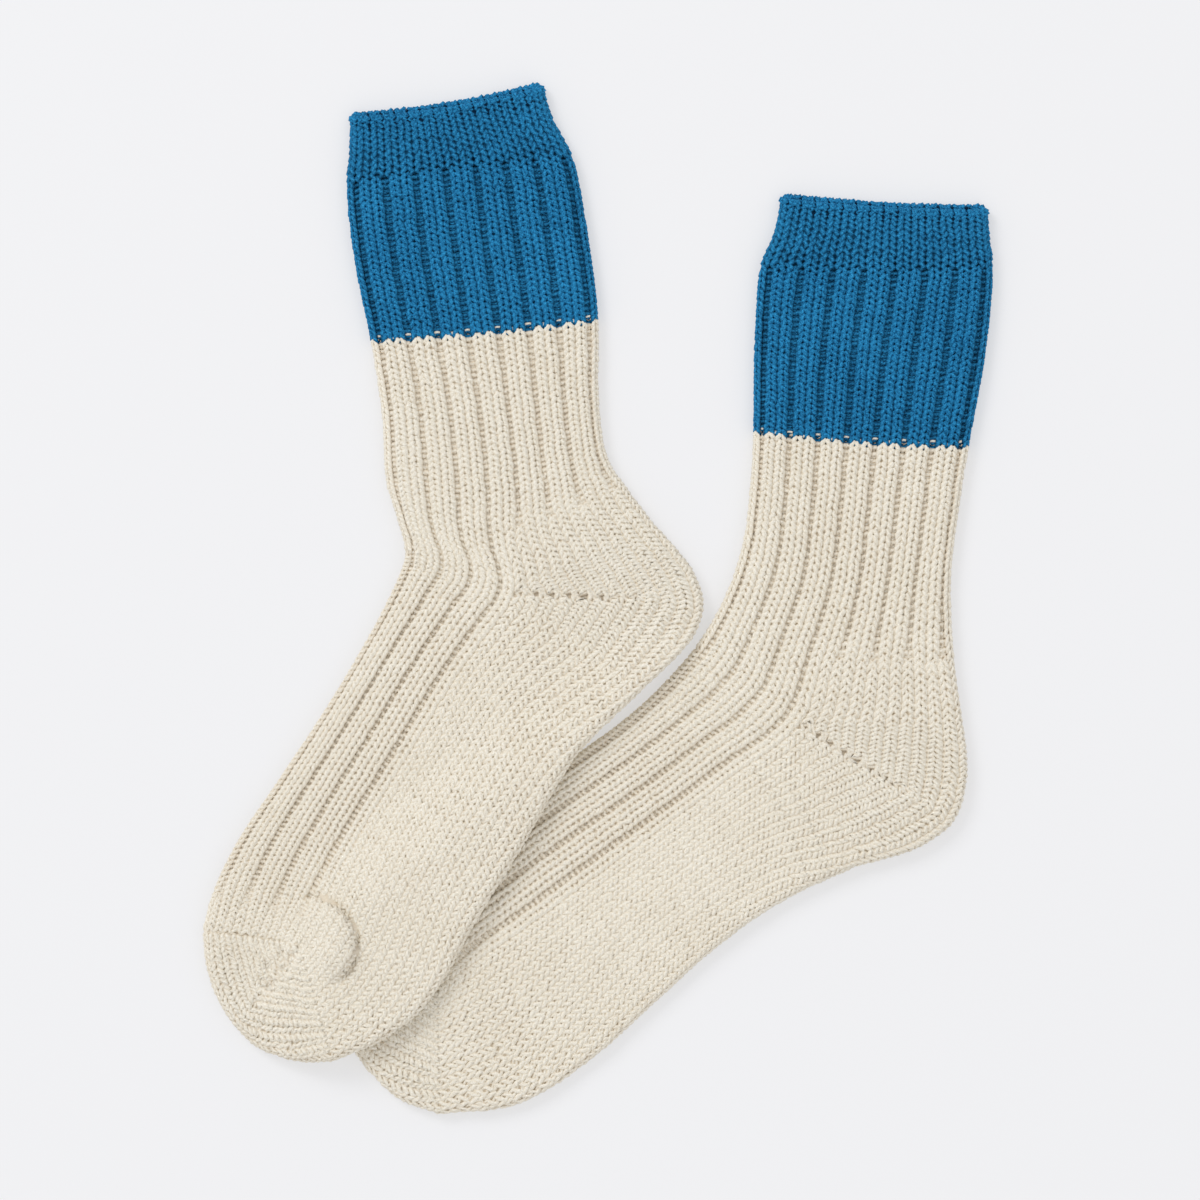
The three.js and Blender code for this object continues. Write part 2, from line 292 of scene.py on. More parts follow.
UPPER = {
    "name": "upper_sock",
    "rides": True,
    "colour_row": 38,
    "leg": named(SECTION, [
        [0, -91, 176, -55.5, 179.5, -19.5, 187.5, 6.6, 1],
        [5, -91.5, 165, -53, 170, -16, 176, 6.8, 1],
        [10, -92.5, 152.5, -50.5, 158.5, -9, 162.5, 6.8, 1],
        [24, -89.5, 124, -46.5, 128, -3, 131.5, 6.8, 1],
        [38, -83.5, 94.5, -42, 97.5, 0.5, 102.5, 6.8, 1],
        [51, -79.5, 68, -38, 69, 0.5, 75, 7, 1],
        [64, -78, 44, -35, 42, 3.5, 53, 7.2, 0.9],
        [72, -74, 31, -34, 22, 11.5, 40.5, 7.5, 0.5],
        [79, -71, 18.5, -30.5, 3, 21, 28, 7.6, 0],
    ]),
    "foot": named(SECTION, [
        [79, -71, 18.5, -30.5, 3, 16.5, -33, 7.6, 0],
        [86, -74, 7.5, -40, -12, 3, -46, 7.4, 0.6],
        [93, -82, -9, -51, -27.5, -8.5, -58.5, 7.2, 1],
        [107, -99, -38, -69.5, -57.5, -26.5, -89, 7.2, 1],
        [121, -117.5, -66, -86, -84.5, -45, -119, 7.2, 1],
        [133, -132, -87.5, -97, -104.5, -60.5, -145.5, 7.2, 0.9],
        [142, -141, -105.5, -103.5, -116.5, -77, -160, 7.4, 0.5],
        [150, -145, -120.5, -108.5, -125.5, -96.5, -168.5, 7.4, 0],
    ]),
    "heel": named(EDGE, [
        [0, 21, 28],
        [1, 29.5, 18.5],
        [2, 35.5, 10],
        [3, 39, -0.5],
        [4, 36.5, -11.5],
        [5, 28.5, -21.5],
        [6, 16.5, -33],
    ]),
    "toe": named(EDGE, [
        [0, -96.5, -168.5],
        [1, -109.5, -169],
        [2, -123.5, -165],
        [3, -133, -156.5],
        [4, -140, -145.5],
        [5, -144, -133],
        [6, -145, -120.5],
    ]),
    "folds": named(FOLD, [
        [-100, -125, 0, 10, 10, 2.6],
        [-75, -112, 60, 17, 11, -0.9],
        [-47, -62, 57, 40, 13, 0.9],
        [-22, 49.5, -79, 14, 2.2, -1.0],
        [-127, -122.6, -7.8, 15, 0.9, -0.8],
        [-108.3, -123.7, -65, 5, 1.3, -1.3],
    ]),
}

LOWER = {
    "name": "lower_sock",
    "rides": False,
    "colour_row": 40,
    "leg": named(SECTION, [
        [0, 66.5, 146.5, 104.5, 143, 143, 142, 6.6, 1],
        [5, 64, 134.5, 104, 133, 144, 132, 6.8, 1],
        [10, 59, 122.5, 103, 121, 145, 122, 6.8, 1],
        [24, 57, 93, 99, 90.5, 142.5, 92.5, 6.8, 1],
        [40, 56.5, 61.5, 96, 57.5, 136, 56, 6.8, 1],
        [51, 55.5, 42.5, 93.5, 31.5, 132.5, 34, 7, 1],
        [61, 52.5, 20, 90, 4.5, 129.5, 8.5, 7.2, 0.9],
        [70, 45.5, 0, 83, -19.5, 130.5, -18.5, 7.4, 0.5],
        [79, 35.5, -16.5, 74, -45, 134, -45, 7.4, 0],
    ]),
    "foot": named(SECTION, [
        [79, 35.5, -16.5, 74, -45, 94.5, -98, 7.4, 0],
        [93, 15.5, -38, 48.5, -65, 69, -110, 7.2, 0.8],
        [107, -6, -54.5, 23, -84, 43.5, -127.5, 6.8, 1],
        [121, -30, -70.5, -3, -103, 18.5, -150, 6.6, 1],
        [133, -53.5, -87.5, -25.5, -119.5, -5.5, -171, 6.6, 0.9],
        [142, -74.5, -104, -44, -132, -30.5, -185.5, 6.6, 0.5],
        [150, -92, -125, -59, -141.5, -58, -188.5, 6.6, 0],
    ]),
    "heel": named(EDGE, [
        [0, 134, -45],
        [1, 135.5, -57.5],
        [2, 135, -69],
        [3, 130.5, -81.5],
        [4, 119.5, -90],
        [5, 108, -94.5],
        [6, 94.5, -98],
    ]),
    "toe": named(EDGE, [
        [0, -58, -188.5],
        [1, -72.5, -183.5],
        [2, -84.5, -172.5],
        [3, -91.5, -161.5],
        [4, -94.5, -149.5],
        [5, -94.5, -137.5],
        [6, -92, -125],
    ]),
    "folds": named(FOLD, [
        [20, -112, 37, 45, 14, 0.5],
        [-38, -158, 20, 14, 10, -0.8],
    ]),
}

# The lower foot as the upper sock rides over it: a tapered rod from its heel to its toe, in plan.
RIDGE_FROM = (43.5, -73.5, 50)
RIDGE_TO = (-56, -146, 46)
RIDGE_HEIGHT = 7.5
RIDGE_RUN = 25
RIDGE_SHELF = 3

# The upper toe is tucked over itself beside the end of its seam: a soft swelling with a sharp crease
# round its right side. Its starts, lengths and the crease's place are shares of its radius.
TUCK_CENTRE = (-104.2, -125.1)
TUCK_RADIUS = 16.0
TUCK_HEIGHT = 3.0
TUCK_AIM = math.radians(22)
TUCK_FACING = {"start": -0.1, "length": 0.75}
TUCK_RISE = {"start": 0.1, "length": 0.6}
TUCK_FALL = {"start": 0.9, "length": 0.12}
CREASE_DEPTH = 2.0
CREASE_PLACE = 1.04
CREASE_WIDTH = 0.07


def mix(a, b, t):
    return a + (b - a) * t


def smooth_step(value):
    t = np.clip(value, 0, 1)
    return t * t * (3 - 2 * t)


def smooth_ramp(value, start, length):
    return smooth_step((value - start) / length)


def along(table, place, column, at):
    """A smooth curve through one column of a table, going straight on past its ends."""
    knots, values = table[place], table[column]
    order = np.arange(len(knots))
    before = np.maximum(order - 1, 0)
    after = np.minimum(order + 1, len(knots) - 1)
    slopes = (values[after] - values[before]) / (knots[after] - knots[before])
    inside = np.clip(at, knots[0], knots[-1])
    i = np.clip(np.searchsorted(knots, inside, side="right") - 1, 0, len(knots) - 2)
    span = knots[i + 1] - knots[i]
    t = (inside - knots[i]) / span
    rise = values[i + 1] - values[i]
    bulge_in = slopes[i] * span - rise
    bulge_out = rise - slopes[i + 1] * span
    curve = values[i] + rise * t + t * (1 - t) * (bulge_in * (1 - t) + bulge_out * t)
    return curve + (at - inside) * np.where(at < inside, slopes[0], slopes[-1])


def short_rows(most, column):
    """Short rows that a wale has on one side of the heel's or the toe's diagonal."""
    return most * np.clip((column - HALF_WALES) / TURN_WALES, 0, 1)


def rib_share(column, row, run):
    """1 where the cloth is ribbed and 0 where it is plain."""
    on_leg = smooth_step(run - WELT_COURSES)
    to_heel = smooth_step((HEEL_RIB_END - run) / HEEL_RIB_FADE)
    to_toe = smooth_step((TOE_RIB_END - row) / (TOE_RIB_END - TOE_RIB_START))
    return on_leg * np.where(column > HALF_WALES, to_heel, to_toe)


def groove_depth(column, row, run):
    """How deep the purl wales of the rib lie under its knit wales, with a trough under the welt."""
    wave = (1 + np.cos(2 * math.pi * (column / RIB_WALES - 0.5))) / 2
    trough = TROUGH_DEPTH * np.exp(-((run - WELT_COURSES - TROUGH_PAST_WELT) / TROUGH_ROWS) ** 2)
    return RIB_DEPTH * wave ** RIB_SHARPNESS * rib_share(column, row, run) + trough


def rib_form(key, row):
    return np.interp(row, RIB_FORM["row"], RIB_FORM[key])


def rib_squeeze(column, row, run):
    """How far, in wales, the rib draws a column towards its purl wale: most at that wale's edges."""
    pull = rib_form("squeeze", row) * rib_share(column, row, run)
    off = np.mod(column / RIB_WALES, 1) - 0.5
    return -np.sign(off) * pull * np.minimum(6 * np.abs(off), 1.5 - 3 * np.abs(off))


def ridge_height(x, y):
    from_x, from_y, from_radius = RIDGE_FROM
    to_x, to_y, to_radius = RIDGE_TO
    rod_x, rod_y = to_x - from_x, to_y - from_y
    t = np.clip(((x - from_x) * rod_x + (y - from_y) * rod_y) / (rod_x ** 2 + rod_y ** 2), 0, 1)
    away = np.hypot(x - from_x - rod_x * t, y - from_y - rod_y * t)
    inside = mix(from_radius, to_radius, t) - away
    return RIDGE_HEIGHT * smooth_step((inside + RIDGE_RUN) / (RIDGE_RUN + RIDGE_SHELF))


def tuck_height(x, y):
    """The swelling and the crease beside the upper toe's seam."""
    off_x, off_y = x - TUCK_CENTRE[0], y - TUCK_CENTRE[1]
    away = np.hypot(off_x, off_y) / TUCK_RADIUS
    facing = np.cos(np.arctan2(off_y, off_x) - TUCK_AIM)
    share = smooth_ramp(facing, **TUCK_FACING)
    swelling = smooth_ramp(away, **TUCK_RISE) * (1 - smooth_ramp(away, **TUCK_FALL))
    crease = np.exp(-((away - CREASE_PLACE) / CREASE_WIDTH) ** 2)
    return share * (TUCK_HEIGHT * swelling - CREASE_DEPTH * crease)


def fold_height(sock, x, y):
    folds = sock["folds"]
    total = np.zeros_like(x)
    for i in range(len(folds["x"])):
        turn = math.radians(folds["turn"][i])
        off_x, off_y = x - folds["x"][i], y - folds["y"][i]
        lengthwise = (off_x * math.cos(turn) + off_y * math.sin(turn)) / folds["length"][i]
        across = (off_y * math.cos(turn) - off_x * math.sin(turn)) / folds["width"][i]
        total += folds["height"][i] * np.exp(-lengthwise ** 2 - across ** 2)
    if sock["rides"]:
        total += tuck_height(x, y)
    return total


def whole(sock, column):
    return {key: np.concatenate([sock["leg"][key], sock["foot"][key][1:]]) for key in ("row", column)}


def cloth_point(sock, wale, run, depth):
    """Places, in metres, at a depth in millimetres under the crest of the outer face.

    A wale counts round the whole tube, over the upper face first, and a run counts down that wale.
    """
    wale, run, depth = np.broadcast_arrays(wale, run, depth)
    wale = np.mod(wale, 2 * FACE_WALES)
    shown = wale <= FACE_WALES
    column = np.where(shown, wale, 2 * FACE_WALES - wale)
    at_back = column > HALF_WALES
    turns = short_rows(HEEL_SHORT_ROWS, column)
    in_heel = (run >= ANKLE) & (run < ANKLE + 2 * turns)
    row = np.where(run < ANKLE, run, np.where(in_heel, ANKLE, run - 2 * turns))
    in_toe = at_back & (row > TOE)
    in_fan = in_heel | in_toe

    # Over the rim of the mouth the cloth turns inwards and goes down again inside.
    over = np.clip((RIM_ROW - run) / RIM_ROWS, 0, 1) * math.pi
    inside = RIM_ROW - RIM_ROWS - run
    ring_row = np.where(in_toe, TOE, np.where(inside > 0, RIM_ROW + inside, np.maximum(row, RIM_ROW)))
    ring_row = np.where(over > 0, ring_row, np.where(in_toe, TOE, row))

    # The back fold jumps over the heel at the ankle, so it is read apart on the leg and on the foot.
    read = {key: along(whole(sock, key), "row", key, ring_row) for key in SECTION[1:5] + SECTION[7:]}
    back = [np.where(run < ANKLE, along(sock["leg"], "row", key, ring_row),
                     along(sock["foot"], "row", key, ring_row)) for key in ("back_x", "back_y")]
    front = [read["front_x"], read["front_y"]]
    side = [read["side_x"], read["side_y"]]

    # The heel and the toe fan out round their corner, from its line on the tube to the outline.
    toe_turns = short_rows(TOE_SHORT_ROWS, column)
    turn = np.where(in_heel, (run - ANKLE) / (2 * np.maximum(turns, TINY)),
                    (row - TOE) / (2 * np.maximum(toe_turns, TINY)))
    step = FAN_STEPS * np.where(in_fan, turn, 0)
    outline, corner = [], []
    for key in ("x", "y"):
        heel, toe = sock["heel"][key], sock["toe"][key]
        outline.append(np.where(in_heel, along(sock["heel"], "step", key, step),
                                along(sock["toe"], "step", key, step)))
        first, middle, last = (np.where(in_heel, heel[k], toe[k]) for k in (0, FAN_STEPS // 2, FAN_STEPS))
        corner.append(np.where(turn < 0.5, mix(first, middle, 2 * turn),
                               mix(middle, last, 2 * turn - 1)))
    fold = [np.where(in_fan, outline[k], np.where(at_back, back[k], front[k])) for k in (0, 1)]
    other = [np.where(at_back, front[k], back[k]) for k in (0, 1)]

    # Round a fold the wall keeps to a half circle of the sock's thickness.
    radius = read["thick"] / 2
    length = np.hypot(fold[0] - side[0], fold[1] - side[1])
    wale_width = (length + (math.pi / 2 - 1) * radius) / HALF_WALES
    from_fold = np.where(at_back, FACE_WALES - column, column) * wale_width
    angle = np.minimum(from_fold / radius, math.pi / 2)
    curl = radius / 2 - depth
    reach = radius / 2 + curl * np.cos(over)
    flat_run = np.maximum(from_fold - math.pi / 2 * radius, 0)
    t = 1 - (radius - reach * np.cos(angle) + flat_run) / length
    level = np.sin(angle)

    plan = []
    curved = smooth_step((t - FAN_CORNER_SHARE) / (1 - FAN_CORNER_SHARE))
    for k in (0, 1):
        straight = mix(side[k], fold[k], t)
        chord = mix(other[k], fold[k], (1 + t) / 2)
        bowed = chord + (1 - t) * (1 + t) * (side[k] - (fold[k] + other[k]) / 2)
        tube = mix(straight, bowed, read["bend"])
        fan = mix(side[k], mix(corner[k], outline[k], curved), t)
        plan.append(np.where(in_fan, fan, tube))

    # At the mouth the lower face reaches a little past the upper one.
    leg = sock["leg"]
    down = np.array([leg["side_x"][1] - leg["side_x"][0], leg["side_y"][1] - leg["side_y"][0]])
    down = down / np.linalg.norm(down)
    lip = np.where(shown, 0, MOUTH_STEP * level * np.clip(1 - ring_row / MOUTH_STEP_ROWS, 0, 1))
    lip = lip + curl * np.sin(over)
    x = plan[0] - lip * down[0]
    y = plan[1] - lip * down[1]

    crown = CROWN * (1 - ((column - HALF_WALES) / HALF_WALES) ** 2)
    soft = (crown + fold_height(sock, x, y)) * level
    z = radius + np.where(shown, reach * level + soft, -reach * level)
    if sock["rides"]:
        z = z + ridge_height(x, y)
    return np.stack([x - PAIR_CENTRE[0], y - PAIR_CENTRE[1], z], axis=-1) * MM


# The yarn is soft spun cotton of two plies, dyed blue or left ecru. Its fibres give a dull, slightly
# fleecy surface. The crests of the plies are painted paler as a painted highlight, and the gaps are painted a deeper,
# warmer colour as painted shade.
# The sizes here are in metres. The grain of single fibres, about 0.02 mm, is drawn 0.5 mm wide to show.
TWIST_PITCH = 0.0021
PLY_RELIEF = 0.35
FIBRE_GRAIN = 0.0005
CLOUD_SIZE = 0.018
BLUE = {
    "pale": "#3AACE6",
    "full": "#003F6C",
    "gap": "#00203A",
    "bloom": "#6FB0D8",
    "sheen": 0.01,
    "spread": 0.35,
}
ECRU = {
    "pale": "#FFFBF0",
    "full": "#E5DCC9",
    "gap": "#DCCEB8",
    "bloom": "#FFF8EC",
    "sheen": 0.1,
    "spread": 0.28,
}


def spun_cotton(name, colours, relief):
    """The cotton's colour and surface; relief gives the height of the plies or of the stitches, which bumps the
    surface and paints the crests paler as a painted highlight.
    """
    material, tree, shader = new_material(name)
    height = relief(tree)
    place = add_node(tree, "ShaderNodeTexCoord", {}).node.outputs["Object"]
    grain = add_node(tree, "ShaderNodeTexNoise",
                     {"Vector": place, "Scale": 1 / FIBRE_GRAIN, "Detail": 2.0})
    cloud = add_node(tree, "ShaderNodeTexNoise",
                     {"Vector": place, "Scale": 1 / CLOUD_SIZE, "Detail": 3.0})
    tone = add_node(tree, "ShaderNodeMath", {0: grain, 1: 1.2, 2: -0.3}, operation="MULTIPLY_ADD")
    tone = add_node(tree, "ShaderNodeMath", {0: cloud, 1: 0.2, 2: tone}, operation="MULTIPLY_ADD")
    # Painted highlight: the raised crests of the plies or stitches are painted paler.
    tone = add_node(tree, "ShaderNodeMath", {0: height, 1: 0.12, 2: tone}, operation="MULTIPLY_ADD")
    colour = add_node(tree, "ShaderNodeValToRGB", {"Fac": tone})
    stops = colour.node.color_ramp.elements
    stops[0].position = 0.5 - colours["spread"]
    stops[0].color = linear(colours["full"])
    stops[1].position = 0.5 + colours["spread"]
    stops[1].color = linear(colours["pale"])
    # Painted shade: the gaps and the deeper sides of the yarn are mixed towards a darker, warmer shade colour.
    deep = add_node(tree, "ShaderNodeAttribute", {}, attribute_name="deep").node.outputs["Fac"]
    colour = add_node(tree, "ShaderNodeMixRGB",
                      {"Fac": deep, "Color1": colour, "Color2": linear(colours["gap"])})
    tree.links.new(colour, shader.inputs["Base Color"])
    plies = add_node(tree, "ShaderNodeMath", {0: height, 1: PLY_RELIEF}, operation="MULTIPLY")
    surface = add_node(tree, "ShaderNodeMath", {0: grain, 1: 0.7, 2: plies}, operation="MULTIPLY_ADD")
    bump = add_node(tree, "ShaderNodeBump", {"Height": surface, "Strength": 0.7, "Distance": 0.0003})
    tree.links.new(bump, shader.inputs["Normal"])
    shader.inputs["Roughness"].default_value = 0.85
    shader.inputs["Specular IOR Level"].default_value = 0.1
    shader.inputs["Sheen Weight"].default_value = colours["sheen"]
    shader.inputs["Sheen Roughness"].default_value = 0.5
    shader.inputs["Sheen Tint"].default_value = linear(colours["bloom"])
    return material


def thread_uv(tree):
    uv = add_node(tree, "ShaderNodeUVMap", {}, uv_map="thread")
    parts = add_node(tree, "ShaderNodeSeparateXYZ", {"Vector": uv}).node
    return parts.outputs["X"], parts.outputs["Y"]


def twisted_plies(tree):
    """Two plies that wind round the yarn: its UV map has metres along it and one turn round it."""
    length, round_yarn = thread_uv(tree)
    turns = add_node(tree, "ShaderNodeMath", {0: length, 1: TWIST_PITCH}, operation="DIVIDE")
    turns = add_node(tree, "ShaderNodeMath", {0: round_yarn, 1: 2.0, 2: turns}, operation="MULTIPLY_ADD")
    angle = add_node(tree, "ShaderNodeMath", {0: turns, 1: 2 * math.pi}, operation="MULTIPLY")
    wave = add_node(tree, "ShaderNodeMath", {0: angle}, operation="SINE")
    return add_node(tree, "ShaderNodeMath", {0: wave, 1: 0.5, 2: 0.5}, operation="MULTIPLY_ADD")


def knitted_relief(tree):
    """The legs of the stitches on the cloth itself: its UV map has wales across and courses down."""
    wales, courses = thread_uv(tree)
    from_edge = add_node(tree, "ShaderNodeMath", {0: wales, 1: 0.5}, operation="PINGPONG")
    slant = add_node(tree, "ShaderNodeMath", {0: from_edge, 1: 1.4, 2: courses}, operation="MULTIPLY_ADD")
    waves = []
    for source in (slant, from_edge):
        angle = add_node(tree, "ShaderNodeMath", {0: source, 1: 2 * math.pi}, operation="MULTIPLY")
        wave = add_node(tree, "ShaderNodeMath", {0: angle}, operation="SINE")
        wave = add_node(tree, "ShaderNodeMath", {0: wave, 1: 0.5, 2: 0.5}, operation="MULTIPLY_ADD")
        waves.append(wave)
    return add_node(tree, "ShaderNodeMath", {0: waves[0], 1: waves[1]}, operation="MULTIPLY")


COTTONS = {
    "cotton_blue": {
        "yarn": spun_cotton("blue_two_ply_cotton_yarn", BLUE, twisted_plies),
        "cloth": spun_cotton("blue_knitted_cotton_cloth", BLUE, knitted_relief),
    },
    "cotton_ecru": {
        "yarn": spun_cotton("ecru_two_ply_cotton_yarn", ECRU, twisted_plies),
        "cloth": spun_cotton("ecru_knitted_cotton_cloth", ECRU, knitted_relief),
    },
}


# The cloth under the stitches. Each sock is one thin knitted tube that lies flat, in a blue length at
# the mouth and an ecru length below it. It carries the yarn on its upper face, and its underside is
# pressed flat on the table or on the other sock.
WALL = 2.3
CLOTH_DEPTH = 1.35
CLOTH_UNDER_DEPTH = 0.35
CLOTH_UNDER_RELIEF = 0.3
CLOTH_LEAST_WALL = 0.5
CLOTH_PITCH = 0.75
CLOTH_ROWS = 2.5
EDGE_WALES = 1.5
COLOUR_GAP_ROWS = 0.02
MITRE_DIP = 0.7
HEEL_RINGS = 12
FOOT_RINGS = 28
TOE_RINGS = 16
# Painted shade on the cloth: the share of the darker gap colour on its upper face, its underside and its inner side.
CLOTH_SHADE = {"upper": 0.75, "under": 0.1, "inner": 0.2}
BAKE_RUNS = 230
MERGE_DISTANCE = 0.00002


def build_mesh(name, points, corners, starts, layers, deep, material):
    """A piece from its points and faces, with the share of painted shade in the gaps at each point."""
    mesh = bpy.data.meshes.new(name)
    mesh.vertices.add(len(points))
    mesh.vertices.foreach_set("co", points.astype(np.float32).ravel())
    mesh.loops.add(len(corners))
    mesh.loops.foreach_set("vertex_index", corners.astype(np.int32))
    mesh.polygons.add(len(starts))
    mesh.polygons.foreach_set("loop_start", starts.astype(np.int32))
    mesh.polygons.foreach_set("loop_total", np.diff(np.append(starts, len(corners))).astype(np.int32))
    for key, values in layers.items():
        mesh.uv_layers.new(name=key).uv.foreach_set("vector", values.astype(np.float32).ravel())
    mesh.attributes.new("deep", "FLOAT", "POINT").data.foreach_set("value", deep.astype(np.float32))
    mesh.update(calc_edges=True)
    mesh.polygons.foreach_set("use_smooth", np.ones(len(mesh.polygons), bool))
    mesh.materials.append(material)
    piece = bpy.data.objects.new(name, mesh)
    bpy.context.scene.collection.objects.link(piece)
    return piece


def ring_runs(columns, first, last):
    """The run of every ring of the cloth at each column, from row first to row last."""
    heel = short_rows(HEEL_SHORT_ROWS, columns)
    toe = short_rows(TOE_SHORT_ROWS, columns)
    leg_last = min(last, ANKLE)
    rings = [np.full_like(columns, row)
             for row in np.linspace(first, leg_last, int(round((leg_last - first) / CLOTH_ROWS)) + 1)]
    if last > ANKLE:
        rings += [ANKLE + 2 * heel * step for step in np.arange(1, HEEL_RINGS + 1) / HEEL_RINGS]
        rings += [row + 2 * heel for row in np.linspace(ANKLE, TOE, FOOT_RINGS + 1)[1:]]
        rings += [TOE + 2 * heel + 2 * toe * step for step in np.arange(1, TOE_RINGS + 1) / TOE_RINGS]
    return np.array(rings)


def add_cloth(sock, name, first, last, material):
    """One closed length of the tube, from row first to row last."""
    around = np.arange(0, 2 * FACE_WALES, CLOTH_PITCH)
    columns = np.minimum(around, 2 * FACE_WALES - around)
    runs = ring_runs(columns, first, last)
    heel = short_rows(HEEL_SHORT_ROWS, columns)
    rows = np.where(runs < ANKLE, runs, np.maximum(runs - 2 * heel, ANKLE))
    under = np.broadcast_to(smooth_step((around - FACE_WALES) / EDGE_WALES)
                            * smooth_step((2 * FACE_WALES - around) / EDGE_WALES), runs.shape)
    mitre = np.where(heel > 0.5, np.exp(-(runs - ANKLE - heel) ** 2), 0)
    dip = groove_depth(columns, rows, runs) + MITRE_DIP * mitre
    outer_depth = mix(CLOTH_DEPTH, CLOTH_UNDER_DEPTH, under) + dip * mix(1, CLOTH_UNDER_RELIEF, under)
    inner_depth = np.maximum(outer_depth + CLOTH_LEAST_WALL, WALL)
    drawn = columns + rib_squeeze(columns, rows, runs)
    places = np.where(around > FACE_WALES, 2 * FACE_WALES - drawn, drawn)
    sides = [cloth_point(sock, places, runs, depth).reshape(-1, 3)
             for depth in (outer_depth, inner_depth)]

    # Faces over the outer and the inner side, and round the ends. At the toe the last ring is merged.
    outer = np.arange(runs.size).reshape(runs.shape)
    inner = outer + runs.size
    next_outer, next_inner = np.roll(outer, -1, axis=1), np.roll(inner, -1, axis=1)
    quads = [
        np.stack([outer[:-1], outer[1:], next_outer[1:], next_outer[:-1]], axis=-1),
        np.stack([inner[:-1], next_inner[:-1], next_inner[1:], inner[1:]], axis=-1),
        np.stack([outer[:1], next_outer[:1], next_inner[:1], inner[:1]], axis=-1),
    ]
    if last < TOE:
        quads.append(np.stack([outer[-1:], inner[-1:], next_inner[-1:], next_outer[-1:]], axis=-1))
    quads = np.concatenate([part.reshape(-1, 4) for part in quads])

    # The map for the bake has the outer side in its left half and the inner side in its right half.
    wales = np.broadcast_to(around, runs.shape).ravel()[quads % runs.size]
    past_seam = (wales == 0) & (wales.max(axis=1, keepdims=True) > FACE_WALES)
    wales = np.where(past_seam, 2 * FACE_WALES, wales)
    thread = np.stack([wales, runs.ravel()[quads % runs.size]], axis=-1).reshape(-1, 2)
    aside = np.repeat(quads.max(axis=1) >= runs.size, 4)
    bake = np.stack([thread[:, 0] / (4 * FACE_WALES) + 0.5 * aside, thread[:, 1] / BAKE_RUNS], axis=-1)
    # The share of painted shade at each point of the cloth.
    deep = np.concatenate([mix(CLOTH_SHADE["upper"], CLOTH_SHADE["under"], under).ravel(),
                           np.full(runs.size, CLOTH_SHADE["inner"])])
    cloth = build_mesh(name, np.concatenate(sides), quads.ravel(), np.arange(len(quads)) * 4,
                       {"thread": thread, "OFBake": bake}, deep, material)
    bpy.ops.object.select_all(action="DESELECT")
    cloth.select_set(True)
    bpy.context.view_layer.objects.active = cloth
    bpy.ops.object.mode_set(mode="EDIT")
    bpy.ops.mesh.select_all(action="SELECT")
    bpy.ops.mesh.remove_doubles(threshold=MERGE_DISTANCE)
    bpy.ops.mesh.dissolve_degenerate(threshold=MERGE_DISTANCE / 2)
    bpy.ops.mesh.normals_make_consistent(inside=False)
    bpy.ops.object.mode_set(mode="OBJECT")
    return cloth


# The stitches. Each course is one continuous yarn that bends into a loop at each wale. The two legs of
# a knit stitch lean together in front of the cloth, with its head and feet behind them. On a purl
# stitch the head and feet lie in front. Every loop here is a stretch of a swept tube.
STITCH_PITCH = 3.5
ROW_PITCH = 2.15
LOOP_STEPS = 9
LEAST_STEPS = 4
LOOP_LEAN = 0.33
LEAN_LIMIT = 1.1
LOOP_REACH = 0.87
PLAIN_RISE = 0.45
PURL_RISE = 0.32
PURL_WIDTH = 0.75
PURL_FADE = 0.5
PURLS_FROM = 0.15
PURLS_GROW = 5
HEAD_SHARE = 0.5
PLAIN_NECK_LIFT = 0.6
HIDDEN_DEPTH = 1.8
TUCK_WALES = 0.5
HOLE_REACH = 1.9

YARN_SIDES = 5
YARN_RADIUS = 0.86
YARN_STRETCH = (0.86, 1.12)
YARN_DEPTH = 1.3
YARN_WANDER = {"run": 0.08, "column": 0.045, "depth": 0.08, "radius": 0.04}
PLAIN_FULLNESS = -0.06
LEG_FULLNESS = 0.06
OUTWARD_STEP = 0.5
PLY_PHASE = 0.37
BAKE_MARGIN = 0.05

# Below these depths the yarn takes a painted shade, the darker gap colour, and less so in a groove that lies open.
GAP_STARTS = 0.15
GAP_DEPTH = 1.5
GROOVE_SHADE = 0.18

DASH_WALES = 0.55
DASH_ROWS = 0.65
DASH_STEPS = 7
DASH_BOW = 0.25
DASH_RADIUS = 0.5
DASH_TAPER = 1.3
DASH_DEPTH = 2.1

rng = np.random.default_rng(7)


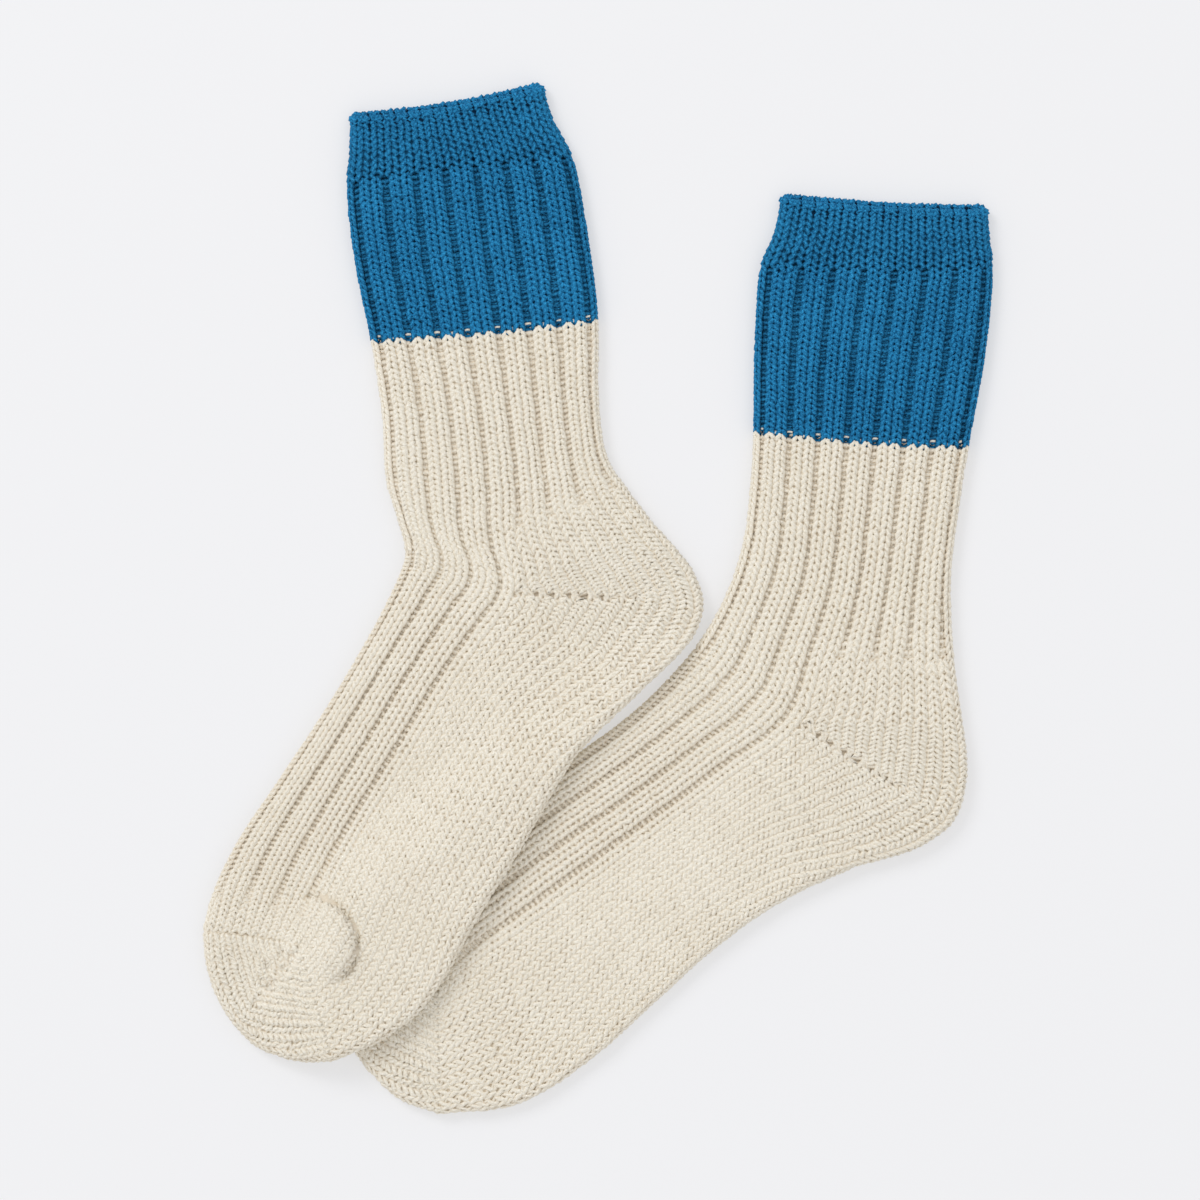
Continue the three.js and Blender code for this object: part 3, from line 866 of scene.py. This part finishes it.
class Yarn:
    """The tubes of many courses, gathered for one mesh."""

    def __init__(self):
        self.points, self.quads, self.caps, self.thread, self.bake, self.deep = [], [], [], [], [], []
        self.count = 0
        self.courses = 0

    def lay(self, centre, outward, radius, depth):
        """One yarn along a line of points, round in section and closed at its ends."""
        along_yarn = np.gradient(centre, axis=0)
        along_yarn /= np.linalg.norm(along_yarn, axis=1, keepdims=True)
        across = np.cross(along_yarn, outward)
        across /= np.linalg.norm(across, axis=1, keepdims=True)
        up = np.cross(across, along_yarn)
        angles = 2 * math.pi * np.arange(YARN_SIDES) / YARN_SIDES
        ring = (np.cos(angles)[None, :, None] * up[:, None, :]
                + np.sin(angles)[None, :, None] * across[:, None, :])
        points = centre[:, None, :] + ring * radius[:, None, None]
        # The table presses the yarn flat.
        points[:, :, 2] = np.maximum(points[:, :, 2], 0)
        # Painted shade: the further a side of the yarn lies under the crest, the more of the darker gap colour it
        # takes.
        sunk = depth[:, None] - np.cos(angles)[None, :] * radius[:, None] / MM

        count = len(centre)
        first = self.count + (np.arange(count - 1) * YARN_SIDES)[:, None]
        side = np.arange(YARN_SIDES)[None, :]
        after = (side + 1) % YARN_SIDES
        quads = np.stack([first + side, first + after, first + YARN_SIDES + after,
                          first + YARN_SIDES + side], axis=-1)
        run = np.concatenate([[0], np.cumsum(np.linalg.norm(np.diff(centre, axis=0), axis=1))])
        u = np.stack([run[:-1], run[:-1], run[1:], run[1:]], axis=-1)[:, None, :]
        v = np.stack([side, side + 1, side + 1, side], axis=-1) / YARN_SIDES
        u, v = np.broadcast_arrays(u, v)
        phase = PLY_PHASE * self.courses * TWIST_PITCH
        strip = self.courses + BAKE_MARGIN + (1 - 2 * BAKE_MARGIN) * v

        self.points.append(points.reshape(-1, 3))
        self.quads.append(quads.reshape(-1, 4))
        self.thread.append(np.stack([u + phase, v], axis=-1).reshape(-1, 2))
        self.bake.append(np.stack([u, strip], axis=-1).reshape(-1, 2))
        self.deep.append(smooth_step((sunk - GAP_STARTS) / GAP_DEPTH).ravel())
        last = self.count + (count - 1) * YARN_SIDES
        self.caps.append((self.count + np.arange(YARN_SIDES))[::-1])
        self.caps.append(last + np.arange(YARN_SIDES))
        self.count += count * YARN_SIDES
        self.courses += 1

    def build(self, name, material):
        quads = np.concatenate(self.quads)
        caps = np.array(self.caps)
        corners = np.concatenate([quads.ravel(), caps.ravel()])
        starts = np.concatenate([np.arange(len(quads)) * 4,
                                 len(quads) * 4 + np.arange(len(caps)) * YARN_SIDES])
        bare = np.zeros((caps.size, 2))
        thread = np.concatenate(self.thread + [bare])
        bake = np.concatenate(self.bake + [bare])
        bake = bake / [bake[:, 0].max(), self.courses]
        return build_mesh(name, np.concatenate(self.points), corners, starts,
                          {"thread": thread, "OFBake": bake}, np.concatenate(self.deep), material)


def wander(stitch, what):
    """A slow random drift along one course, for the hand of the knitting."""
    knots = np.arange(math.floor(stitch[0]), math.ceil(stitch[-1]) + 2)
    return np.interp(stitch, knots, rng.normal(0, YARN_WANDER[what], len(knots)))


def lay_course(yarn, sock, column, run, depth, radius, groove=0.0):
    """Lays one yarn on the cloth; groove is the depth that an open groove gives, of which only a share deepens the
    painted shade.
    """
    centre = cloth_point(sock, column, run, depth)
    outward = cloth_point(sock, column, run, depth - OUTWARD_STEP) - centre
    outward /= np.linalg.norm(outward, axis=1, keepdims=True)
    yarn.lay(centre, outward, radius * MM, depth - (1 - GROOVE_SHADE) * groove)


def purl_share(wale):
    """1 at the middle of a purl wale of the rib, 0 on its knit wales."""
    from_purl = np.abs(np.mod(wale, RIB_WALES) - RIB_WALES / 2)
    return smooth_step((PURL_WIDTH - from_purl) / PURL_FADE)


def open_holes(column, run, holes):
    """Pushes the yarn aside round small holes; each has its column, its run and its size in mm."""
    for hole_column, hole_run, size in holes:
        off_across, off_along = (column - hole_column) * STITCH_PITCH, (run - hole_run) * ROW_PITCH
        away = np.hypot(off_across, off_along) + TINY
        push = size * np.exp(-(away / HOLE_REACH) ** 2) / away
        column = column + off_across * push / STITCH_PITCH
        run = run + off_along * push / ROW_PITCH
    return column, run


def knit_course(yarn, sock, run_at, row_at, first, last, gauge=1.0, tuck=0.0, holes=(), purls=1.0):
    """One course of stitches from wale first to wale last, as they are counted along it.

    run_at and row_at give its run and its row at a column. Stitches past the middle of the side are
    gauge wales wide, tuck sinks the yarn where it turns back, and purls is 0 where purls lie hidden.
    """
    steps = max(int(round((last - first) * LOOP_STEPS)), LEAST_STEPS)
    wale = np.linspace(first, last, steps + 1)
    t = 2 * math.pi * wale
    base = np.where(wale > HALF_WALES, HALF_WALES + (wale - HALF_WALES) * gauge, wale)
    folded = np.where(base > FACE_WALES, 2 * FACE_WALES - base, np.abs(base))
    middle, row = run_at(folded), row_at(folded)
    ribbed = rib_share(folded, row, middle)

    # The instep has a purl wale more along its front fold.
    at_instep_fold = (wale < RIB_WALES / 2) & (row > ANKLE)
    purl = purls * purl_share(np.where(at_instep_fold, RIB_WALES / 2, wale))
    purl = purl * smooth_step((ribbed - PURLS_FROM) * PURLS_GROW)

    squeeze = rib_squeeze(folded, row, middle)
    squeeze = np.where((base < 0) | (base > FACE_WALES), -squeeze, squeeze)
    lean = LOOP_LEAN * np.sin(2 * t) * min(gauge, LEAN_LIMIT)
    column = base + lean + squeeze + wander(wale, "column")

    # Legs in front and head and feet behind, or the other way on a purl. The legs' ends towards the mouth
    # lie over the course before, as shingles do.
    rise = mix(mix(PLAIN_RISE, rib_form("rise", row), ribbed), -PURL_RISE, purl)
    swing = np.cos(2 * t)
    swing = np.where(swing > 0, swing * mix(HEAD_SHARE, 1, purl), swing)
    neck_lift = mix(PLAIN_NECK_LIFT, rib_form("neck_lift", row), ribbed)
    shingle = neck_lift * np.cos(t) * np.sin(t) ** 2 * (1 - 2 * purl)
    groove = groove_depth(folded, row, middle)
    depth = (YARN_DEPTH + groove + wander(wale, "depth") + rise * swing - shingle
             + HIDDEN_DEPTH * (1 - purls) * purl_share(wale) * ribbed
             + tuck * smooth_step(1 - (wale - first) / TUCK_WALES))

    near = np.where(column > FACE_WALES, 2 * FACE_WALES - column, np.abs(column))
    run = run_at(near) - LOOP_REACH * np.cos(t) + wander(wale, "run")

    # The yarn is thicker in wide stitches, within limits, and fuller where it shows in front.
    span = (cloth_point(sock, base + 0.5, middle, YARN_DEPTH)
            - cloth_point(sock, base - 0.5, middle, YARN_DEPTH))
    pitch = np.linalg.norm(span, axis=1) / MM * gauge
    fullness = mix(PLAIN_FULLNESS, rib_form("fullness", row), ribbed) * (1 - purl)
    radius = YARN_RADIUS * np.clip(pitch / STITCH_PITCH, *YARN_STRETCH) * (1 + wander(wale, "radius"))
    radius = radius * (1 + fullness)
    radius = radius * (1 - LEG_FULLNESS * np.sign(rise) * np.cos(2 * t))
    column, run = open_holes(column, run, holes)
    lay_course(yarn, sock, column, run, depth, radius, groove)


def knit_leg(yarn, sock, first, last):
    """Rib from row first to row last; the purls of the first ecru course lie hidden."""
    for course in np.arange(first + 0.5, last):
        def at_course(column, course=course):
            return np.full_like(column, course)

        purls = 0.0 if course == sock["colour_row"] + 0.5 else 1.0
        knit_course(yarn, sock, at_course, at_course, -EDGE_WALES, FACE_WALES + EDGE_WALES, purls=purls)


def knit_dashes(yarn, sock):
    """Where the colour changes, the first ecru course shows as a short dash on each purl wale."""
    for middle in np.arange(RIB_WALES / 2, FACE_WALES, RIB_WALES):
        column = middle + np.linspace(-DASH_WALES, DASH_WALES, DASH_STEPS)
        bow = DASH_BOW * np.cos((column - middle) / DASH_WALES * math.pi / 2)
        run = sock["colour_row"] - DASH_ROWS - bow
        depth = np.full_like(column, DASH_DEPTH)
        radius = DASH_RADIUS * np.cos((column - middle) / DASH_WALES * DASH_TAPER) ** 0.5
        lay_course(yarn, sock, column, run, depth, radius, depth)


# The foot has the rib on its instep and plain stitches on its sole, where they are a little narrower
# than at the heel. Towards the toe they grow wide again.
SOLE_GAUGE = named(["row", "gauge"], [
    [79, 1.0],
    [93, 0.88],
    [107, 0.82],
    [121, 0.81],
    [133, 0.86],
    [145, 0.97],
    [150, 1.03],
])
FOOT_HALFWAY = 114


def knit_foot(yarn, sock, first, last, holes=()):
    for row in np.arange(first + 0.5, last):
        gauge = float(along(SOLE_GAUGE, "row", "gauge", np.array([row]))[0])
        knit_course(yarn, sock, lambda column, r=row: r + 2 * short_rows(HEEL_SHORT_ROWS, column),
                    lambda column, r=row: np.full_like(column, r),
                    -EDGE_WALES, HALF_WALES + (HALF_WALES + EDGE_WALES) / gauge, gauge, holes=holes)


# The heel and the toe are turned with short rows: each is two wedges of plain stitches that meet at a
# diagonal. The yarn turns back there, a stitch further in every second row, and leaves a small hole.
HEEL_GAUGES = (1.0, 1.0, 1.0)
TOE_GAUGES = (1.05, 1.3, 1.25)
TURN_TUCK = 0.7
SEAM_ROWS = 0.25
HEEL_HOLE_FIRST = 12.5
HEEL_HOLE_STEP = 0.95
HEEL_HOLE_SIZES = (1.3, 1.1, 1.0, 1.15, 1.2, 1.0, 0.8, 0.6)
HEEL_HOLES = [(HEEL_HOLE_FIRST + HEEL_HOLE_STEP * k, size) for k, size in enumerate(HEEL_HOLE_SIZES)]
SEAM_HOLES = [(4.4, 0.6), (5.8, 0.8), (7.1, 0.5)]
TOE_HOLES = [(13.4, 1.0), (14.4, 0.8), (15.5, 1.1), (16.9, 1.1), (18.2, 0.9)]


def turn_holes(start, most, holes):
    """Holes on the diagonal of a heel or a toe, whose short rows start at a run."""
    return [(column, start(column) + float(short_rows(most, column)), size) for column, size in holes]


def knit_wedges(yarn, sock, start_run, most, gauges, seam=0.0, holes=()):
    """Both wedges, from their shortest rows in the middle to their longest beside the tube."""
    for k in np.arange(most - 0.5, 0, -1):
        for far in (False, True):
            near_gauge = gauges[2] if far else gauges[0]
            gauge = mix(near_gauge, gauges[1], k / most)
            turned = TURN_WALES * (2 * math.floor(k / 2) + 1) / most
            first = HALF_WALES + turned / gauge
            last = HALF_WALES + (HALF_WALES + EDGE_WALES) / gauge

            def run_at(column, k=k, far=far):
                turns = short_rows(most, column)
                back = 2 * turns - k - seam * (k < 1)
                return start_run(column) + (back if far else k)

            knit_course(yarn, sock, run_at, lambda column: np.full_like(column, TOE), first, last, gauge,
                        tuck=TURN_TUCK, holes=holes)


# The welt at the mouth is knitted double, so its yarn is fuller and its stitches are wider, in sixteen
# plump columns on each face with deep grooves between them. It turns inwards over the rim.
WELT_WALES = 1.5
WELT_RADIUS = 1.02
WELT_DEPTH = 1.3
WELT_RISE = 0.6
WELT_GROOVE = 0.85
WELT_LEAN = 0.28
WELT_PINCH = 0.03
WELT_REACH = 0.92
WELT_STEP = 0.97
WELT_FIRST = 0.5
WELT_EDGE = 1
BACK_COURSES = (0.5, 1.45)
RIM_COURSES = (-2.4, -1.45, -0.45)
RIM_JOIN = -0.25
RIM_LIFT = 0.75
RIM_UNEVENNESS = 3


def welt_course(yarn, sock, course, first, last):
    stitch = np.linspace(first, last, int(round((last - first) * LOOP_STEPS)) + 1)
    t = 2 * math.pi * stitch
    unevenness = RIM_UNEVENNESS if course < 0 else 1
    run = course - WELT_REACH * np.cos(t) + unevenness * wander(stitch, "run")
    column = WELT_WALES * (stitch + WELT_LEAN * np.sin(2 * t) + WELT_PINCH * np.sin(t)
                           + wander(stitch, "column"))
    depth = (WELT_DEPTH + WELT_GROOVE * (1 + np.cos(t)) / 2 + WELT_RISE * np.cos(2 * t)
             + wander(stitch, "depth") - RIM_LIFT * (course < 0))
    lay_course(yarn, sock, column, run, depth, WELT_RADIUS * (1 + wander(stitch, "radius")))


def knit_welt(yarn, sock):
    """The rim all round, the back's first courses and the upper face."""
    columns = FACE_WALES / WELT_WALES
    for course in RIM_COURSES:
        welt_course(yarn, sock, course, RIM_JOIN, 2 * columns + RIM_JOIN)
    for course in BACK_COURSES:
        welt_course(yarn, sock, course, columns + WELT_EDGE, 2 * columns - WELT_EDGE)
    for course in np.arange(WELT_FIRST, WELT_COURSES, WELT_STEP):
        welt_course(yarn, sock, course, -WELT_EDGE, columns + WELT_EDGE)


# Both socks are put together here: the lower one first, then the one that lies across it. Each length
# of cloth takes the place of its solid, and its yarn belongs to the same sheet. The cut of a tube is
# given all round, in metres, and a body's area is less than its round by its length.
CUFF_ROUND = 0.176
BODY_CUT = (0.18, 0.37)
BODY_AREA = 0.0535


def heel_start(column):
    return ANKLE


def toe_start(column):
    return TOE + 2 * short_rows(HEEL_SHORT_ROWS, column)


for sock in (LOWER, UPPER):
    colour_row = sock["colour_row"]
    heel_holes = turn_holes(heel_start, HEEL_SHORT_ROWS, HEEL_HOLES)
    toe_holes = turn_holes(toe_start, TOE_SHORT_ROWS, TOE_HOLES)
    seam_holes = [(column, TOE, size) for column, size in SEAM_HOLES]
    welt, cuff, leg, heel, foot, toe = (Yarn() for _ in range(6))
    knit_welt(welt, sock)
    knit_leg(cuff, sock, WELT_COURSES + 0.5, colour_row)
    knit_leg(leg, sock, colour_row, ANKLE)
    knit_dashes(leg, sock)
    knit_wedges(heel, sock, heel_start, HEEL_SHORT_ROWS, HEEL_GAUGES, holes=heel_holes)
    knit_foot(foot, sock, ANKLE, FOOT_HALFWAY, heel_holes)
    knit_foot(toe, sock, FOOT_HALFWAY, TOE, seam_holes)
    knit_wedges(toe, sock, toe_start, TOE_SHORT_ROWS, TOE_GAUGES, SEAM_ROWS, toe_holes)
    lengths = {
        "cuff": ("cotton_blue", 0, colour_row - COLOUR_GAP_ROWS / 2,
                 {"welt": welt, "cuff_rib": cuff},
                 {"flat": (CUFF_ROUND, colour_row * ROW_PITCH * MM)}),
        "body": ("cotton_ecru", colour_row + COLOUR_GAP_ROWS / 2, TOE,
                 {"leg_rib": leg, "heel": heel, "foot": foot, "toe": toe},
                 {"flat": BODY_CUT, "area": BODY_AREA}),
    }
    for length, (slot, first, last, yarns, cut) in lengths.items():
        cloth = add_cloth(sock, f"{sock['name']}_{length}_cloth", first, last, COTTONS[slot]["cloth"])
        stitches = [yarn.build(f"{sock['name']}_{part}_yarn", COTTONS[slot]["yarn"])
                    for part, yarn in yarns.items()]
        for piece in [cloth] + stitches:
            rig.ride(piece, "root")
            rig.slot(piece, slot)
        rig.replaces(cloth, f"{sock['name']}_{length}")
        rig.sheet(cloth, held="laid", with_pieces=stitches, **cut)

with open("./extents.json", "w") as out:
    json.dump([[list(map(float, corner)) for corner in box] for box in (cad_box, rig.bounds())], out)
